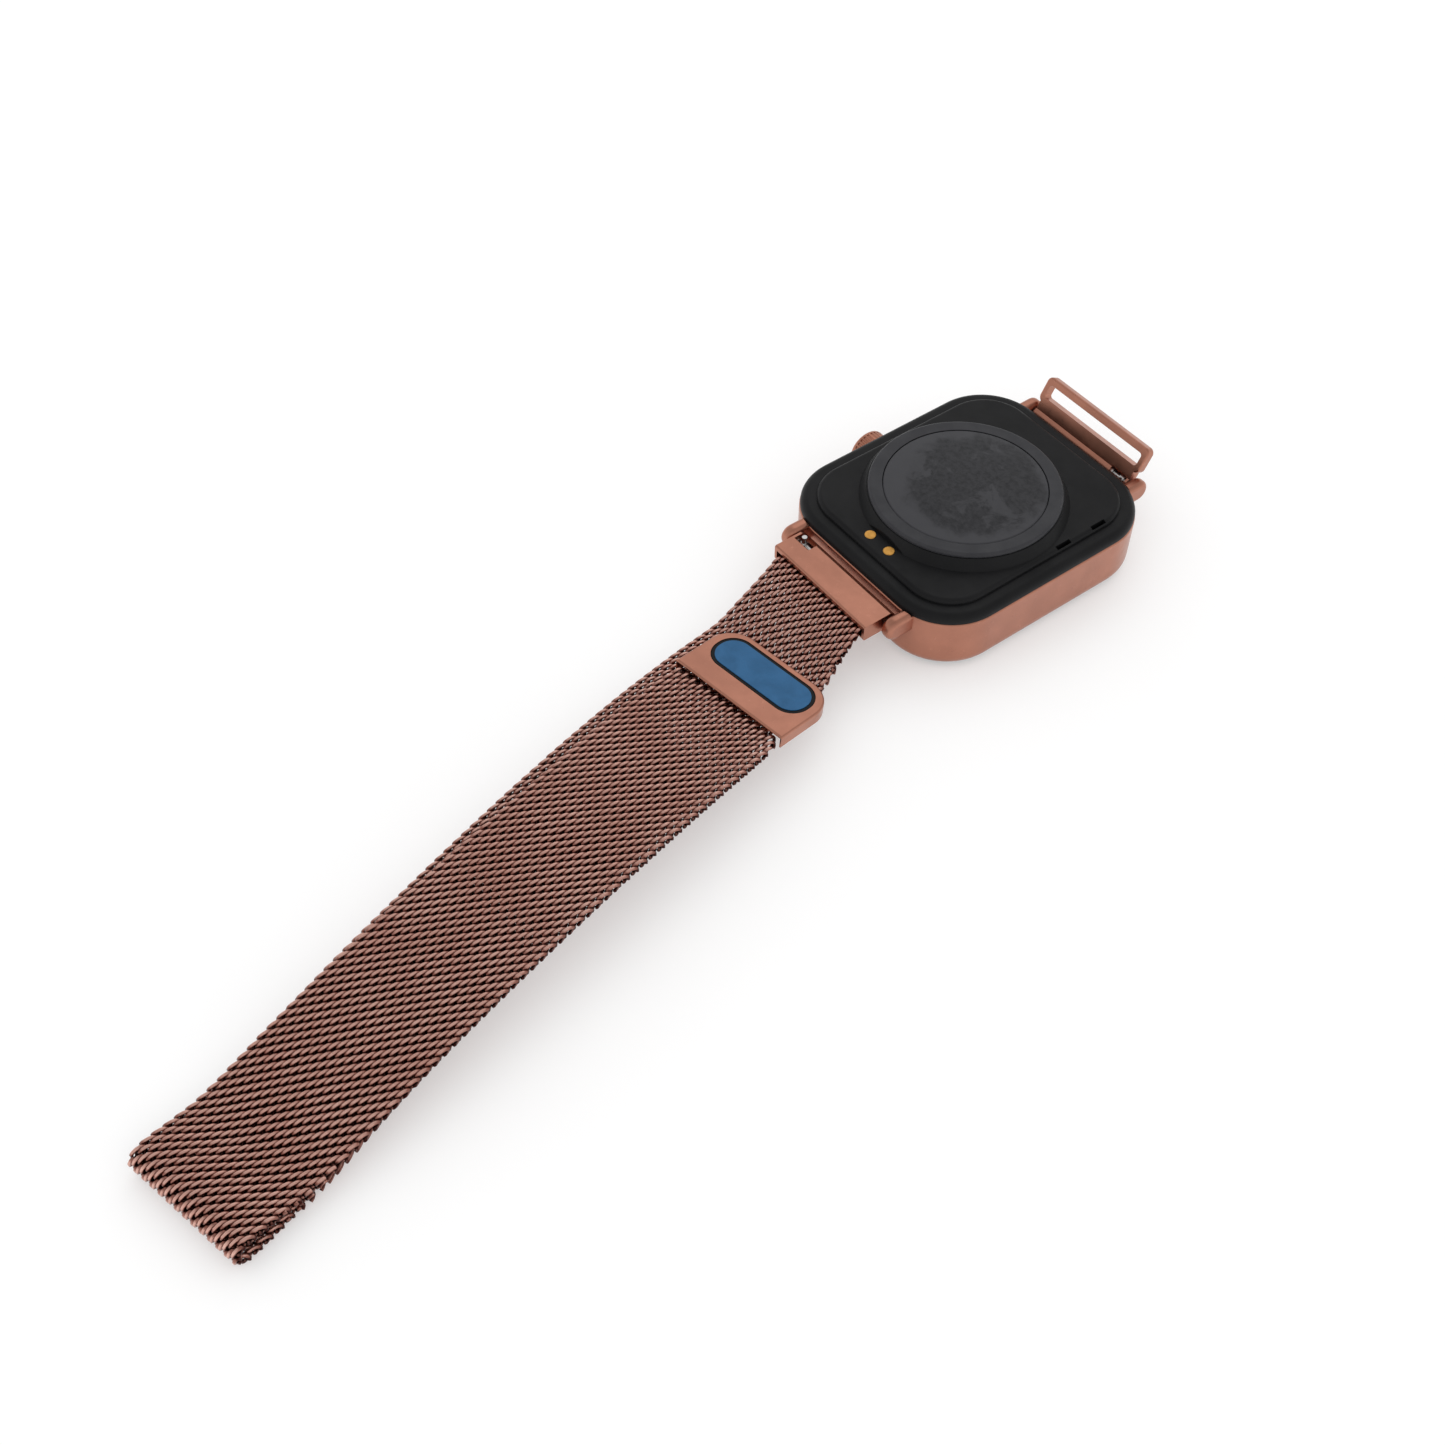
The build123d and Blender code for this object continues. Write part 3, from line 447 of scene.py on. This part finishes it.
def weave_spans():
    """Each piece of the mesh: name, first and last station, bodies, blend across their joint, node."""
    turn = 2 * TURN_U
    neck_blend = tuple(on_strap(*point) for point in NECK_BLEND)
    spans = [("weave_root", -math.inf, NECK_MID, ("link", "neck"), ROOT_BLEND, "mesh_root"),
             ("weave_neck", NECK_MID, LOWER_START, ("neck", "strap_1"), neck_blend, "mesh_neck")]
    bodies = ["strap_1", "strap_2", "strap_3", "strap_4", "strap_5", "strap_6", "strap_end"]
    middles = [(a + b) / 2 for a, b in zip(HINGES, HINGES[1:])]
    edges = [LOWER_START, *middles, FOLD_START]
    for k, hinge in enumerate(HINGES):
        joint = (on_strap(hinge - HALF_HINGE, 0, 5), on_strap(hinge + HALF_HINGE, 0, 5))
        pair = (bodies[k], bodies[k + 1])
        spans.append((f"weave_lower_{k + 1}", edges[k], edges[k + 1], pair, joint, f"mesh_lower_{k + 1}"))
    spans.append(("weave_fold", FOLD_START, turn - FOLD_START, ("strap_end",), None, "mesh_fold"))
    edges[0] = PEEL_BLEND[1]
    for k, hinge in reversed(list(enumerate(HINGES))):
        near = hinge - (HALF_HINGE if k else PEEL_CLEAR)
        joint = (on_strap(near, 0, 5), on_strap(hinge + HALF_HINGE, 0, 5))
        pair = (bodies[k], bodies[k + 1])
        u0, u1 = turn - edges[k + 1], turn - edges[k]
        spans.append((f"weave_upper_{k + 1}", u0, u1, pair, joint, f"mesh_upper_{k + 1}"))
    spans.append(("weave_tail", turn - PEEL_BLEND[1], math.inf, ("clasp", "strap_1"),
                  tuple(on_strap(u, 0, 8) for u in PEEL_BLEND), "mesh_tail"))
    return spans


def weave(finish):
    """The mesh strap, cut into pieces at the middles of the hinged spans."""
    line = strap_line()
    even, station = line[0], line[4]
    first, last = ROOT_INSET + COIL_REACH, even[-1] - COIL_REACH
    total = int((last - first) / COIL_STEP)
    placed = [(i, first + i * COIL_STEP) for i in range(total + 1)]
    for name, u0, u1, ride, joint, node in weave_spans():
        verts, faces, crowns, base = [], [], [], 0
        for index, s in placed:
            if u0 <= np.interp(s, even, station) < u1:
                v, f, crown = tube(*coil_points(line, s, index))
                verts.append(v)
                crowns.append(crown)
                faces += [[i + base for i in face] for face in f]
                base += len(v)
        obj = new_mesh(name, np.vstack(verts), faces, finish["mesh_wire"])
        # the crown value sets where the wire gets its painted highlight and painted shade
        obj.data.attributes.new("crown", "FLOAT", "POINT").data.foreach_set("value", np.concatenate(crowns))
        if len(ride) == 1:
            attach(obj, ride[0])
        else:
            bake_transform(obj)
        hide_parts(node)


# ---------------------------------------------------------------- studio
TENT_FALL, TENT_DIM = 0.40, 0.08
FLOOR_SIZE, FLOOR_DROP, FLOOR_GLOW = 3.0, 0.00002, 0.35
AIM = (0.0, -0.04, 0.0)
LAMPS = [("key", (-0.22, 0.26, 0.42), 0.34, 0.14), ("fill", (0.35, -0.30, 0.40), 0.5, 0.05)]


def make_world():
    """White light from all round, but reflections see a tent that is dimmer overhead."""
    world = bpy.data.worlds.new("studio")
    bpy.context.scene.world = world
    world.use_nodes = True
    tree = world.node_tree
    background = tree.nodes["Background"]
    background.inputs["Color"].default_value = (1.0, 1.0, 1.0, 1.0)
    height = tree.nodes.new("ShaderNodeSeparateXYZ")
    tree.links.new(tree.nodes.new("ShaderNodeTexCoord").outputs["Generated"], height.inputs[0])
    dim = tree.nodes.new("ShaderNodeMath")
    dim.operation = "MULTIPLY_ADD"
    tree.links.new(height.outputs["Z"], dim.inputs[0])
    dim.inputs[1].default_value = -TENT_FALL
    dim.inputs[2].default_value = -TENT_DIM
    strength = tree.nodes.new("ShaderNodeMath")
    strength.operation = "MULTIPLY_ADD"
    tree.links.new(dim.outputs[0], strength.inputs[0])
    tree.links.new(tree.nodes.new("ShaderNodeLightPath").outputs["Is Glossy Ray"], strength.inputs[1])
    strength.inputs[2].default_value = 1.0
    tree.links.new(strength.outputs[0], background.inputs["Strength"])


def make_floor():
    """Plain white floor that glows a little, which keeps shadows faint."""
    n = Nodes("floor", Emission_Strength=FLOOR_GLOW, Emission_Color=(1.0, 1.0, 1.0, 1.0))
    n.into("Base Color", n.mix(n.noise(30.0), (0.64, 0.64, 0.64), (0.66, 0.66, 0.66)))
    n.into("Roughness", n.remap(n.noise(200.0), 0.0, 1.0, 0.75, 0.9))
    mesh = bpy.data.meshes.new("floor")
    corners = [(x * FLOOR_SIZE, y * FLOOR_SIZE, 0) for x, y in ((-1, -1), (1, -1), (1, 1), (-1, 1))]
    mesh.from_pydata(corners, [], [(0, 1, 2, 3)])
    mesh.materials.append(n.mat)
    floor = bpy.data.objects.new("floor", mesh)
    bpy.context.scene.collection.objects.link(floor)
    floor.location.z = CAD_BOX[0][2] - FLOOR_DROP


def make_lights():
    """Two weak round lamps over the object."""
    for name, place, size, power in LAMPS:
        data = bpy.data.lights.new(name, "AREA")
        data.shape = "DISK"
        data.size = size
        data.energy = power
        lamp = bpy.data.objects.new(name, data)
        lamp.location = place
        lamp.rotation_euler = (Vector(AIM) - Vector(place)).to_track_quat("-Z", "Y").to_euler()
        bpy.context.scene.collection.objects.link(lamp)


make_camera()
finish = make_materials()
for obj in NODES.values():
    slot = obj.data.materials[0].name.split(".")[0]
    obj.data.materials[0] = finish[slot]
weave(finish)
make_world()
make_floor()
make_lights()
bpy.context.scene.view_settings.view_transform = "Standard"
